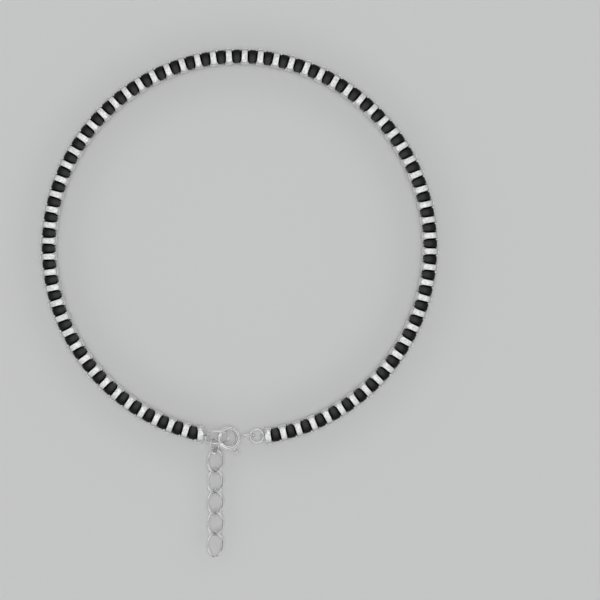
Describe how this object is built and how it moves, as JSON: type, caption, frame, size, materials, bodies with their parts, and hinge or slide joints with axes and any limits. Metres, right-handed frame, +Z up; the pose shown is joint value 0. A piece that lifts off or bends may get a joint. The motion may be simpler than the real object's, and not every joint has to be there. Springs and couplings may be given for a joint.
{
  "type": "payal anklet",
  "caption": "Silver payal anklet with bar-set black cut stones, a spring-ring clasp with a sprung lever, and an extender chain of twisted links.",
  "frame": {"origin": "on the ground below the middle of the whole outline, anklet lying flat with its stones up", "axes": "+Z up out of the stones' tables, +Y from the extender chain's free end across the loop, +X to the right"},
  "size_m": [0.0846, 0.1082, 0.0028],
  "materials": {
    "silver": "polished silver",
    "black_stone": "polished, opaque black"
  },
  "bodies": {
    "anklet": {"chain_right": "silver", "chain_left": "silver", "end_ring": "silver", "clasp_tube": "silver", "clasp_ring": "silver", "extender_ring": "silver", "extender_link_1": "silver", "extender_link_2": "silver", "extender_link_3": "silver", "extender_link_4": "silver", "extender_link_5": "silver"},
    "lever": {"clasp_trigger": "silver"}
  },
  "joints": [
    {"name": "clasp_lever", "type": "hinge", "parent": "anklet", "child": "lever", "pos_m": [-0.00232, -0.02865, 0.0016], "axis": [0.1492, 0.0972, 0.984], "range_deg": [0, 46], "stiffness_Nm_per_rad": 0.002, "springref_deg": -17.19}
  ]
}
